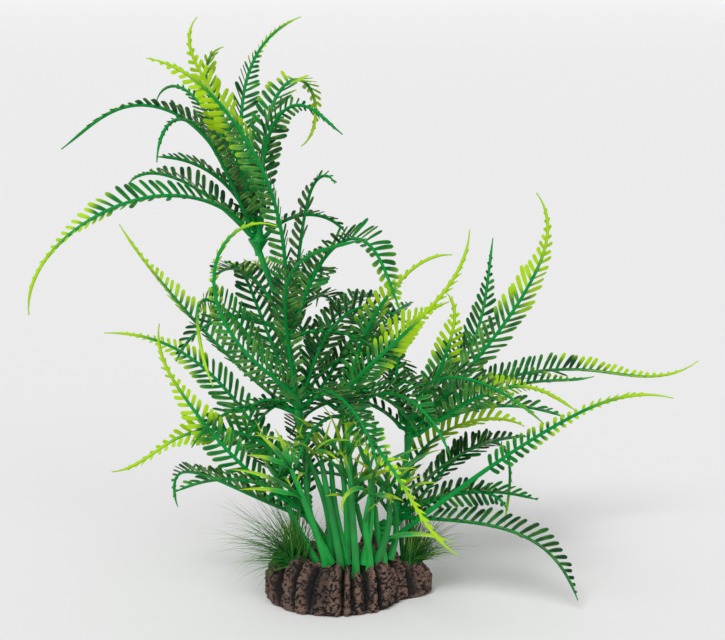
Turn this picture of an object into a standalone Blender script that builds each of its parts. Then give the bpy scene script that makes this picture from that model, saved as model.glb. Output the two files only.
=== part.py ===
"""Artificial aquarium fern: fern fronds in rosettes on three stems, strap grass and hair grass,
all planted in a moulded, ridged rock base. Metres, +Z up. The base stands on z = 0, the fronds
fan out along X, and -Y is the front."""

import math

import bmesh
import bpy
import numpy as np
from mathutils import Matrix, Vector

COLLECTION = "artificial_fern_plant"

# Base: two overlapping oval lobes in plan, as (centre x, centre y, half width, half depth).
BASE_HEIGHT = 0.027
BASE_LOBES = ((-0.008, 0.0, 0.034, 0.030), (0.020, 0.010, 0.022, 0.016))
STEP_FROM = 0.014
STEP_WIDTH = 0.016
STEP_DROP = 0.006
RIDGES = 20
RIDGE_DEPTH = 0.0016
# Base profile from the rim of the foot up to the middle of the top: (share of outline, height).
BASE_PROFILE = ((0.95, 0.0), (1.0, 0.10), (0.98, 0.45), (0.97, 0.80), (0.88, 0.97), (0.45, 1.0))

# Plugs and their sockets. The socket is wider and deeper than the plug by SOCKET_GAP, and its
# cutter stands SOCKET_CLEAR above the base. A grass plug stands PLUG_STAND out of the base.
PLUG_RADIUS = 0.0024
PLUG_BOTTOM = 0.014
PLUG_STAND = 0.002
SOCKET_GAP = 0.0006
SOCKET_SIDES = 6
SOCKET_CLEAR = 0.004

# Rosette hubs: where the axis of the pin meets the lowest frond.
HUBS = {
    "crown": (-0.045, -0.004, 0.188),
    "middle": (-0.032, -0.002, 0.137),
    "lower": (-0.026, -0.004, 0.100),
    "low_left": (-0.021, -0.010, 0.047),
    "centre": (-0.003, 0.006, 0.095),
    "right": (0.030, 0.0, 0.086),
    "low_right": (0.024, 0.002, 0.040),
    "foot": (0.017, 0.0, 0.030),
}
# A pin runs from PIN_DROP below its hub to PIN_RISE above it. The crown's cup is widest at
# CUP_DROP below.
PIN_RADIUS = 0.0025
PIN_RISE = 0.011
PIN_DROP = 0.0025
CUP_RADIUS = 0.0050
CUP_DROP = 0.0030
STEM_RADIUS = 0.0016
STEM_FEET = {
    "tall_stem": (-0.009, -0.008),
    "centre_stem": (0.001, 0.008),
    "right_stem": (0.017, 0.0),
}
# Bare stretches of each stem, from its socket up, as (x, y, z), with the hubs it carries.
STEMS = {
    "tall_stem": (
        ((-0.009, -0.008, 0.030), (-0.015, -0.009, 0.038)),
        "low_left",
        ((-0.021, -0.008, 0.066), (-0.023, -0.005, 0.086)),
        "lower",
        ((-0.028, -0.003, 0.120),),
        "middle",
        ((-0.036, -0.003, 0.158), (-0.042, -0.004, 0.174), (-0.0445, -0.004, 0.181)),
        "crown",
    ),
    "centre_stem": (
        ((0.001, 0.008, 0.030), (0.001, 0.008, 0.060), (-0.002, 0.007, 0.085)),
        "centre",
    ),
    "right_stem": (
        (),
        "foot",
        (),
        "low_right",
        ((0.026, 0.001, 0.060), (0.029, 0.0, 0.076)),
        "right",
    ),
}

# Fronds: the midrib is a curve whose pitch starts at rise and falls by droop along its length,
# late if bend is high, and whose heading turns by sway. Flick lifts the last third of the tip,
# roll turns the blade about its midrib, tier lifts the root up the pin in millimetres, and fold
# raises both halves of the blade from the midrib. Angles are in degrees, and heading 0 is +X
# and 90 is +Y.
#   heading, rise, length, droop, bend, sway, flick, roll, tier, fold
FRONDS = {
    "crown": (
        (213, 66, 0.150, 131, 0.7, -15, -30, -35, 0, 30),
        (150, 39, 0.080, 56, 2.1, 14, -35, -5, 0, 45),
        (181, 70, 0.130, 176, 2.2, 12, 70, 10, 6, 40),
        (234, 57, 0.125, 130, 2.9, 20, -10, -20, 3, 30),
        (231, 75, 0.110, 30, 2.0, -39, 90, 65, 6, 10),
        (140, 60, 0.100, -22, 1.0, 18, 90, 10, 3, 10),
        (121, 62, 0.147, 48, 1.6, -76, 0, 5, 6, 30),
        (59, 90, 0.137, 318, 2.8, -3, 63, 0, 3, 10),
        (307, 89, 0.104, 200, 2.3, 10, 85, -80, 9, 10),
        (105, 45, 0.130, 30, 3.0, 40, -90, -10, 0, 30),
    ),
    "middle": (
        (281, 84, 0.165, 42, 0.8, -105, -35, 50, 9, 30),
        (339, 83, 0.093, 49, 4.0, -30, -90, 0, 6, 15),
        (320, 67, 0.135, 191, 2.2, -29, 90, 5, 0, 40),
        (30, 79, 0.085, 195, 1.5, 90, 45, 60, 0, 20),
        (90, 72, 0.110, 105, 0.6, 40, 70, 0, 0, 40),
    ),
    "lower": (
        (240, 87, 0.150, 85, 0.9, 85, 15, 15, 6, 15),
        (275, 27, 0.165, -165, 3.0, -105, 10, 45, 3, 25),
        (120, 46, 0.085, -25, 0.6, 45, -65, -30, 3, 15),
        (150, 25, 0.140, -20, 0.6, -5, 5, -15, 0, 40),
        (185, 61, 0.150, 195, 2.5, 120, 90, -45, 3, 25),
        (30, 73, 0.095, 175, 2.0, 10, 90, 60, 6, 15),
        (30, 41, 0.055, -20, 0.6, -10, -60, 60, 0, 15),
        (195, 54, 0.030, 100, 1.0, 25, 20, -75, 0, 15),
        (300, 39, 0.086, 105, 1.0, 5, -10, 0, 6, 20),
    ),
    "centre": (
        (90, 58, 0.045, 65, 0.9, -50, 40, 30, 0, 15),
        (270, 34, 0.143, -30, 2.1, 100, 25, -45, 6, 25),
        (313, 84, 0.104, 50, 1.0, 47, -40, -20, 6, 30),
        (15, 73, 0.085, 70, 1.2, 25, 5, 75, 0, 15),
        (270, 47, 0.130, 115, 0.6, 65, 45, 30, 0, 20),
        (310, 49, 0.088, 119, 1.2, 5, 10, 20, 0, 30),
    ),
    "right": (
        (285, 85, 0.110, 130, 0.8, 55, 5, 60, 3, 15),
        (180, 72, 0.045, -25, 0.6, 0, -40, -90, 6, 15),
        (30, 35, 0.112, -60, 1.7, 45, -40, 60, 6, 30),
        (330, 50, 0.147, -40, 2.9, 25, 40, -60, 3, 30),
        (60, 16, 0.200, 45, 1.5, -60, 70, 25, 0, 40),
        (30, 20, 0.115, 40, 1.6, 0, 25, 25, 3, 40),
        (330, 37, 0.120, 75, 2.3, -35, 30, -80, 0, 20),
        (0, 63, 0.070, -30, 2.0, -15, 45, -90, 9, 20),
    ),
    "low_right": (
        (15, 51, 0.132, 225, 2.0, 65, 15, 50, 0, 30),
        (59, 102, 0.095, 110, 0.6, -75, -20, -10, 3, 30),
        (345, 27, 0.065, 45, 2.1, -30, -45, 75, 6, 15),
        (330, 5, 0.110, 110, 2.6, 35, 35, 20, 3, 40),
    ),
    "foot": (
        (320, 40, 0.185, 20, 3.0, 15, -30, 90, 0, 15),
    ),
    "low_left": (
        (200, 30, 0.125, -33, 0.6, -33, 40, -100, 3, 10),
        (150, 58, 0.155, 80, 2.2, 5, 15, -60, 0, 25),
        (165, 81, 0.120, 150, 1.0, 45, 75, -60, 6, 20),
        (188, 23, 0.100, 107, 3.0, -80, -90, 5, 0, 35),
    ),
}
ROOT_OFFSET = 0.0032
# A frond's half width over its leaflets' tips. PETIOLE is the bare share at its root, and then
# it swells and tapers over the shares of the midrib named here, to a blunt tip.
FROND_HALF_WIDTH = 0.0092
WIDTH_PER_LENGTH = 0.115
PETIOLE = 0.05
LONG_PETIOLES = {"foot_frond_1": 0.42}
SWELL_SHARE = 0.25
TAPER_SHARE = 0.55
TAPER_POWER = 0.8
TIP_FROM = 0.97
TIP_HALF_WIDTH = 0.0009
PETIOLE_HALF_WIDTH = 0.0010
BLADE_THICKNESS = 0.0008
FROND_RINGS = 9
TIER = 0.001
# The roll is reached at the share ROLL_BY of the midrib, and the flick starts at FLICK_FROM.
ROLL_BY = 0.35
FLICK_FROM = 0.7
SPINE_STEPS = 100

# Strap grass: the shaft's foot, elbow and top, then straps that leave the shaft, as
# (share of the shaft, heading, rise, length, droop). The elbow is at the share ELBOW_AT.
ELBOW_AT = 0.6
STRAP_HALF_WIDTH = 0.0013
STRAP_TAPER_SHARE = 0.6
STRAP_TAPER_POWER = 0.7
STRAP_TIP = 0.2
STRAP_FOLD = 7
STRAP_RINGS = 4
STRAP_THICKNESS = 0.0009
SHAFT_RADIUS = 0.0013
STRAP_GRASS = (
    (
        ((-0.013, -0.018), (-0.023, -0.021, 0.059), (-0.029, -0.022, 0.075)),
        (
            (0.6, 185, 45, 0.041, 42),
            (0.6, 205, 30, 0.036, 30),
            (1.0, 195, 38, 0.025, 35),
            (1.0, 180, 58, 0.026, 20),
            (1.0, 165, 78, 0.022, 20),
            (1.0, 20, 82, 0.024, 15),
        ),
    ),
    (
        ((-0.005, -0.021), (-0.012, -0.018, 0.066), (-0.014, -0.017, 0.078)),
        (
            (0.7, 230, 75, 0.030, 50),
            (1.0, 150, 78, 0.018, 10),
            (1.0, 240, 50, 0.016, 40),
            (1.0, 330, 80, 0.022, 10),
        ),
    ),
    (
        ((0.003, -0.022), (0.001, -0.020, 0.060), (0.0, -0.019, 0.079)),
        (
            (0.7, 250, 75, 0.030, 40),
            (1.0, 180, 86, 0.023, 5),
            (1.0, 350, 76, 0.021, 5),
            (1.0, 300, 60, 0.020, 20),
        ),
    ),
    (
        ((0.010, -0.019), (0.008, -0.019, 0.045), (0.010, -0.020, 0.060)),
        (
            (1.0, 210, 70, 0.027, 190),
            (1.0, 330, 80, 0.030, 20),
            (0.6, 290, 70, 0.026, 60),
            (1.0, 350, 20, 0.018, 50),
        ),
    ),
    (
        ((0.017, -0.014), (0.014, -0.012, 0.040), (0.013, -0.011, 0.052)),
        (
            (0.3, 345, 28, 0.040, 50),
            (1.0, 300, 60, 0.022, 80),
            (1.0, 345, 75, 0.026, 30),
            (1.0, 190, 85, 0.028, 10),
        ),
    ),
)

# Hair grass: broad blades that stand for the fine ones, as (heading, rise, length, droop),
# from a root in the base.
TUFT_HALF_WIDTH = 0.0022
TUFT_RINGS = 3
TUFTS = {
    "hair_grass_left": (
        (-0.027, -0.014, 0.026),
        (
            (170, 55, 0.042, 60),
            (190, 28, 0.034, 45),
            (150, 66, 0.036, 25),
            (225, 75, 0.034, 20),
            (280, 62, 0.024, 30),
            (240, 84, 0.028, 10),
        ),
    ),
    "hair_grass_right": (
        (0.031, 0.003, 0.021),
        (
            (0, 42, 0.028, 45),
            (25, 62, 0.026, 40),
            (335, 60, 0.026, 30),
            (290, 76, 0.022, 10),
            (90, 70, 0.020, 20),
            (50, 80, 0.018, 10),
        ),
    ),
}

# Materials: linear base colour and roughness. None is metallic.
DARK_GREEN = ((0.005, 0.105, 0.030), 0.42)
STEM_GREEN = ((0.004, 0.250, 0.060), 0.38)
GRASS_GREEN = ((0.010, 0.330, 0.045), 0.38)
HAIR_GREEN = ((0.012, 0.130, 0.022), 0.50)
ROCK_BROWN = ((0.130, 0.078, 0.052), 0.75)


def clear_scene():
    """Removes every object, so that the model starts from nothing."""
    for obj in list(bpy.data.objects):
        bpy.data.objects.remove(obj, do_unlink=True)


def new_collection(name):
    """A collection linked to the scene."""
    collection = bpy.data.collections.new(name)
    bpy.context.scene.collection.children.link(collection)
    return collection


def plastic(name, look):
    """A Principled material of one colour and roughness."""
    (red, green, blue), roughness = look
    material = bpy.data.materials.new(name)
    material.use_nodes = True
    shader = material.node_tree.nodes["Principled BSDF"]
    shader.inputs["Base Color"].default_value = (red, green, blue, 1.0)
    shader.inputs["Roughness"].default_value = roughness
    shader.inputs["Metallic"].default_value = 0.0
    material.diffuse_color = (red, green, blue, 1.0)
    return material


def add_object(name, data, collection, material=None):
    """An object of the data in the collection."""
    obj = bpy.data.objects.new(name, data)
    collection.objects.link(obj)
    if material:
        data.materials.append(material)
    return obj


def mesh_of(bm, name):
    """A mesh from a bmesh, with its normals facing out."""
    bmesh.ops.recalc_face_normals(bm, faces=bm.faces)
    mesh = bpy.data.meshes.new(name)
    bm.to_mesh(mesh)
    bm.free()
    return mesh


def angles(t, heading, rise, droop, bend, sway, flick):
    """Pitch and heading along a midrib, in radians: the pitch is rise - droop * t^bend plus a
    flick over the last third, and the heading is heading + sway * t."""
    tip = np.clip((t - FLICK_FROM) / (1.0 - FLICK_FROM), 0.0, 1.0)
    pitch = rise - droop * t**bend + flick * tip**2
    return np.radians(pitch), np.radians(heading + sway * t)


def directions(pitch, turn):
    """Unit vectors of that pitch and heading."""
    flat = np.cos(pitch)
    return np.stack([flat * np.cos(turn), flat * np.sin(turn), np.sin(pitch)], axis=1)


def midrib(root, heading, rise, length, droop, bend=1.0, sway=0.0, flick=0.0, roll=0.0):
    """Points along a midrib, with the sideways and the upward direction at each. The points are
    the running sum of short steps. The side starts level, is turned back by the running sum of
    sin(pitch) * sway, which keeps it from twisting, and is turned by roll over the first part."""
    t = np.linspace(0.0, 1.0, SPINE_STEPS + 1)
    halfway = (t[1:] + t[:-1]) / 2
    steps = directions(*angles(halfway, heading, rise, droop, bend, sway, flick))
    steps = np.cumsum(steps, axis=0) * length / SPINE_STEPS
    points = np.asarray(root) + np.vstack([np.zeros(3), steps])
    pitch, turn = angles(t, heading, rise, droop, bend, sway, flick)
    along = directions(pitch, turn)
    level = np.stack([-np.sin(turn), np.cos(turn), np.zeros_like(turn)], axis=1)
    over = np.cross(along, level)
    twist = -np.radians(sway) * np.cumsum(np.sin(pitch)) / SPINE_STEPS
    twist += np.radians(roll) * np.clip(t / ROLL_BY, 0.0, 1.0)
    across = level * np.cos(twist)[:, None] + over * np.sin(twist)[:, None]
    return points, across, np.cross(along, across)


def frond_half_width(t, length, bare):
    """Half the width over the leaflets' tips: a bare petiole, a quick swell, a long taper."""
    widest = min(FROND_HALF_WIDTH, WIDTH_PER_LENGTH * length)
    swell = np.sin(np.clip((t - bare) / SWELL_SHARE, 0.0, 1.0) * np.pi / 2)
    taper = np.clip((1.0 - t) / TAPER_SHARE, 0.0, 1.0) ** TAPER_POWER
    width = PETIOLE_HALF_WIDTH + (widest - PETIOLE_HALF_WIDTH) * swell * taper
    return np.where(t > TIP_FROM, TIP_HALF_WIDTH, width)


def strap_half_width(t, widest):
    """Half the width of a strap: even, then a taper to a blunt point."""
    return widest * np.clip((1.0 - t) / STRAP_TAPER_SHARE, STRAP_TIP, 1.0) ** STRAP_TAPER_POWER


def blade_mesh(name, rib, half_widths, fold, rings, columns):
    """An open strip along the midrib, both of whose halves rise from it by the fold angle."""
    points, across, upward = rib
    slope = math.radians(fold)
    bm = bmesh.new()
    bmesh.ops.create_grid(bm, x_segments=rings, y_segments=columns, size=1.0)
    for vert in bm.verts:
        at = round((vert.co.x + 1.0) / 2.0 * (len(points) - 1))
        reach = vert.co.y * half_widths[at]
        side = across[at] * reach * math.cos(slope)
        vert.co = Vector(points[at] + side + upward[at] * abs(reach) * math.sin(slope))
    return mesh_of(bm, name)


def add_thickness(obj, thickness):
    """Solidify about the strip's own surface."""
    solidify = obj.modifiers.new("Thickness", "SOLIDIFY")
    solidify.thickness = thickness
    solidify.offset = 0.0


def add_frond(name, hub, row, collection, material):
    """One fern frond whose root stands just off the rosette's pin."""
    heading, rise, length, droop, bend, sway, flick, roll, tier, fold = row
    angle = math.radians(heading)
    outward = Vector((math.cos(angle), math.sin(angle), 0.0)) * ROOT_OFFSET
    root = Vector(hub) + outward + Vector((0.0, 0.0, tier * TIER))
    rib = midrib(root, heading, rise, length, droop, bend, sway, flick, roll)
    bare = LONG_PETIOLES.get(name, PETIOLE)
    half_widths = frond_half_width(np.linspace(0.0, 1.0, SPINE_STEPS + 1), length, bare)
    mesh = blade_mesh(name, rib, half_widths, fold, FROND_RINGS, 2)
    obj = add_object(name, mesh, collection, material)
    add_thickness(obj, BLADE_THICKNESS)
    return obj


def add_strap(name, root, row, widest, rings, collection):
    """One plain strap or broad hair-grass blade."""
    heading, rise, length, droop = row
    rib = midrib(root, heading, rise, length, droop)
    half_widths = strap_half_width(np.linspace(0.0, 1.0, SPINE_STEPS + 1), widest)
    mesh = blade_mesh(name, rib, half_widths, STRAP_FOLD, rings, 1)
    strap = add_object(name, mesh, collection)
    add_thickness(strap, STRAP_THICKNESS)
    return strap


def hide_cutter(obj):
    """Keeps a helper out of renders and shows it as wire."""
    obj.hide_render = True
    obj.display_type = "WIRE"
    return obj


def tube_curve(name, points, radii, collection, material=None, resolution=2):
    """A round tube of changing radius through the points, with closed ends."""
    curve = bpy.data.curves.new(name, "CURVE")
    curve.dimensions = "3D"
    curve.bevel_depth = 1.0
    curve.bevel_resolution = resolution
    curve.use_fill_caps = True
    spline = curve.splines.new("POLY")
    spline.points.add(len(points) - 1)
    for point, place, radius in zip(spline.points, points, radii):
        point.co = (*place, 1.0)
        point.radius = radius
    return add_object(name, curve, collection, material)


def curve_to_mesh(curve_object):
    """The curve object made a mesh object with welded caps."""
    name = curve_object.name
    graph = bpy.context.evaluated_depsgraph_get()
    mesh = bpy.data.meshes.new_from_object(curve_object.evaluated_get(graph))
    bm = bmesh.new()
    bm.from_mesh(mesh)
    bmesh.ops.remove_doubles(bm, verts=bm.verts, dist=0.00001)
    bmesh.ops.recalc_face_normals(bm, faces=bm.faces)
    bm.to_mesh(mesh)
    bm.free()
    collection = curve_object.users_collection[0]
    matrix = curve_object.matrix_world.copy()
    bpy.data.objects.remove(curve_object, do_unlink=True)
    obj = add_object(name, mesh, collection)
    obj.matrix_world = matrix
    return obj


def union_with(obj, others):
    """Joins each of the others to the object with an exact Boolean."""
    for other in others:
        union = obj.modifiers.new("Join " + other.name, "BOOLEAN")
        union.operation = "UNION"
        union.solver = "EXACT"
        union.object = other


def stem_route(parts, foot):
    """The stem's points and radii: a straight plug in its socket, bare stretches, and a pin at
    each hub. The last hub, if it is the crown, sits in a cup."""
    points = [(*foot, PLUG_BOTTOM), (*foot, BASE_HEIGHT)]
    radii = [PLUG_RADIUS, PLUG_RADIUS]
    for part in parts:
        if not isinstance(part, str):
            points += part
            radii += [STEM_RADIUS] * len(part)
            continue
        x, y, z = HUBS[part]
        if part == "crown":
            points.append((x, y, z - CUP_DROP))
            radii.append(CUP_RADIUS)
        points += [(x, y, z - PIN_DROP), (x, y, z + PIN_RISE)]
        radii += [PIN_RADIUS, PIN_RADIUS]
    return points, radii


def add_stems(collection, material):
    """The three moulded stems, each one piece from its plug to its top."""
    for name, parts in STEMS.items():
        points, radii = stem_route(parts, STEM_FEET[name])
        tube_curve(name, points, radii, collection, material)


def add_strap_grass(collection, helpers, material):
    """The strap grass bunches: a shaft on a plug, with straps that branch off it."""
    for number, (shaft, rows) in enumerate(STRAP_GRASS, start=1):
        foot, elbow, top = shaft
        name = f"strap_grass_{number}"
        route = [(*foot, PLUG_BOTTOM), (*foot, BASE_HEIGHT + PLUG_STAND), elbow, top]
        radii = [PLUG_RADIUS, PLUG_RADIUS, SHAFT_RADIUS, SHAFT_RADIUS]
        bunch = curve_to_mesh(tube_curve(name, route, radii, collection, resolution=1))
        bunch.data.materials.append(material)
        ends = np.array(route[1:])
        straps = []
        for index, (share, *row) in enumerate(rows):
            root = ends[1] + (ends[2] - ends[1]) * (share - ELBOW_AT) / (1.0 - ELBOW_AT)
            if share < ELBOW_AT:
                root = ends[0] + (ends[1] - ends[0]) * share / ELBOW_AT
            label = f"{name}_strap_{index}"
            strap = add_strap(label, root, row, STRAP_HALF_WIDTH, STRAP_RINGS, helpers)
            straps.append(hide_cutter(strap))
        union_with(bunch, straps)


def add_tufts(collection, helpers, material):
    """The hair grass tufts: a short plug with broad blades that reach the fine blades' tips."""
    for name, (foot, rows) in TUFTS.items():
        x, y, top = foot
        route = [(x, y, PLUG_BOTTOM), (x, y, top + PLUG_STAND)]
        tuft = curve_to_mesh(tube_curve(name, route, [PLUG_RADIUS] * 2, collection, resolution=1))
        tuft.data.materials.append(material)
        blades = []
        for index, row in enumerate(rows):
            label = f"{name}_blade_{index}"
            blade = add_strap(label, foot, row, TUFT_HALF_WIDTH, TUFT_RINGS, helpers)
            blades.append(hide_cutter(blade))
        union_with(tuft, blades)


def lobe_reach(angle, lobe):
    """How far a ray from the origin runs before it leaves an oval lobe: the outer root of the
    quadratic where the ray meets the oval, or zero where it misses."""
    x, y, half_x, half_y = lobe
    ray_x, ray_y = math.cos(angle) / half_x, math.sin(angle) / half_y
    to_x, to_y = x / half_x, y / half_y
    square = ray_x**2 + ray_y**2
    middle = ray_x * to_x + ray_y * to_y
    inside = middle**2 - square * (to_x**2 + to_y**2 - 1.0)
    return (middle + math.sqrt(inside)) / square if inside > 0.0 else 0.0


def base_top(x):
    """The height of the base's top, which steps down smoothly towards the right lobe."""
    share = min(1.0, max(0.0, (x - STEP_FROM) / STEP_WIDTH))
    return BASE_HEIGHT - STEP_DROP * share * share * (3.0 - 2.0 * share)


def add_base(collection, helpers, material):
    """The rock base: a ball cage moulded to the lobed outline and profile, with upright ridges,
    a flat foot and a socket for every plug."""
    bm = bmesh.new()
    levels = len(BASE_PROFILE) + 1
    bmesh.ops.create_uvsphere(bm, u_segments=2 * RIDGES, v_segments=levels, radius=1.0)
    for vert in bm.verts:
        level = round(math.acos(max(-1.0, min(1.0, -vert.co.z))) / math.pi * levels)
        angle = math.atan2(vert.co.y, vert.co.x)
        if level in (0, levels):
            vert.co = Vector((0.0, 0.0, BASE_HEIGHT if level else 0.0))
            continue
        share, height = BASE_PROFILE[level - 1]
        reach = max(lobe_reach(angle, lobe) for lobe in BASE_LOBES)
        reach += RIDGE_DEPTH * math.cos(angle * RIDGES)
        reach *= share
        x, y = reach * math.cos(angle), reach * math.sin(angle)
        vert.co = Vector((x, y, height * base_top(x)))
    base = add_object("rock_base", mesh_of(bm, "rock_base"), collection, material)
    feet = list(STEM_FEET.values())
    feet += [shaft[0] for shaft, _ in STRAP_GRASS]
    feet += [foot[:2] for foot, _ in TUFTS.values()]
    for number, foot in enumerate(feet):
        cut_socket(base, f"socket_{number}", foot, helpers)


def cut_socket(base, name, foot, helpers):
    """Cuts a blind socket for a plug at the foot's place."""
    bottom = PLUG_BOTTOM - SOCKET_GAP
    depth = BASE_HEIGHT + SOCKET_CLEAR - bottom
    radius = (PLUG_RADIUS + SOCKET_GAP) / math.cos(math.pi / SOCKET_SIDES)
    bm = bmesh.new()
    place = Matrix.Translation((*foot, bottom + depth / 2))
    bmesh.ops.create_cone(
        bm,
        cap_ends=True,
        segments=SOCKET_SIDES,
        radius1=radius,
        radius2=radius,
        depth=depth,
        matrix=place,
    )
    cutter = hide_cutter(add_object(name, mesh_of(bm, name), helpers))
    cut = base.modifiers.new("Cut " + name, "BOOLEAN")
    cut.operation = "DIFFERENCE"
    cut.solver = "EXACT"
    cut.object = cutter


def add_fronds(collection, material):
    """Every rosette's fronds, each an object of its own."""
    for rosette, rows in FRONDS.items():
        for number, row in enumerate(rows, start=1):
            add_frond(f"{rosette}_frond_{number}", HUBS[rosette], row, collection, material)


def main():
    clear_scene()
    plant = new_collection(COLLECTION)
    helpers = new_collection("cutters")
    add_base(plant, helpers, plastic("rock", ROCK_BROWN))
    add_stems(plant, plastic("stem", STEM_GREEN))
    add_fronds(plant, plastic("frond", DARK_GREEN))
    add_strap_grass(plant, helpers, plastic("strap_grass", GRASS_GREEN))
    add_tufts(plant, helpers, plastic("hair_grass", HAIR_GREEN))


if __name__ == "__main__":
    main()
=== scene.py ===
"""Artificial aquarium fern: fronds of club-shaped leaflets in rosettes on three moulded stems,
strap grass and hair grass, all planted in a pitted, ridged rock base. Every piece is a surface
worked out from its own formula around the CAD frame. Metres, +Z up, and -Y is the front."""

import math

import bpy
import numpy as np
from bpy.props import EnumProperty, FloatProperty, FloatVectorProperty, IntProperty
from bpy.props import PointerProperty
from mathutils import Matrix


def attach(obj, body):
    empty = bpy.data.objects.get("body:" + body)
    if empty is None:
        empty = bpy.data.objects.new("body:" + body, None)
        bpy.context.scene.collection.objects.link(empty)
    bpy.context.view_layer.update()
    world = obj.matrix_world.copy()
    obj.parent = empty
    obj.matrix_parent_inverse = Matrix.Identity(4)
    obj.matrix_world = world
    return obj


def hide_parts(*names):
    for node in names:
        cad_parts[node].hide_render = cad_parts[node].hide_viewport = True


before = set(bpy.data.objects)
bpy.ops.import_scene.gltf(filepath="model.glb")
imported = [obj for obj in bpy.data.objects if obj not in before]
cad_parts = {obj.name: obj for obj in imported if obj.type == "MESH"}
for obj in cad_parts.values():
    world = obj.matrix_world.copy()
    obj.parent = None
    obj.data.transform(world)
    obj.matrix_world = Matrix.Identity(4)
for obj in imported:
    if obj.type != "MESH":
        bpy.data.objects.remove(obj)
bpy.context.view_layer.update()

bl_info = {
    "name": "Artificial Fern Plant",
    "version": (1, 0, 0),
    "blender": (4, 5, 0),
    "location": "View3D > Sidebar > Fern",
    "description": "Builds a plastic aquarium fern on its rock base around the CAD frame",
    "category": "Add Mesh",
}

# The CAD part's values, with this model's own beside them.
HUBS = {
    "crown": (-0.045, -0.004, 0.188),
    "middle": (-0.032, -0.002, 0.137),
    "lower": (-0.026, -0.004, 0.1),
    "low_left": (-0.021, -0.01, 0.047),
    "centre": (-0.003, 0.006, 0.095),
    "right": (0.03, 0.0, 0.086),
    "low_right": (0.024, 0.002, 0.04),
    "foot": (0.017, 0.0, 0.03),
}
PIN_RISE = 0.011
# Each stem: its foot, and then its route upwards, as points and the rosettes it carries.
STEMS = {
    "tall_stem": (
        (-0.009, -0.008), (-0.009, -0.008, 0.03), (-0.015, -0.009, 0.038), "low_left",
        (-0.021, -0.008, 0.066), (-0.023, -0.005, 0.086), "lower",
        (-0.028, -0.003, 0.12), "middle",
        (-0.036, -0.003, 0.158), (-0.042, -0.004, 0.174), (-0.0445, -0.004, 0.181), "crown",
    ),
    "centre_stem": (
        (0.001, 0.008), (0.001, 0.008, 0.03), (0.001, 0.008, 0.06), (-0.002, 0.007, 0.085),
        "centre",
    ),
    "right_stem": (
        (0.017, 0.0), "foot", "low_right", (0.026, 0.001, 0.06), (0.029, 0.0, 0.076), "right",
    ),
}
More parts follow.
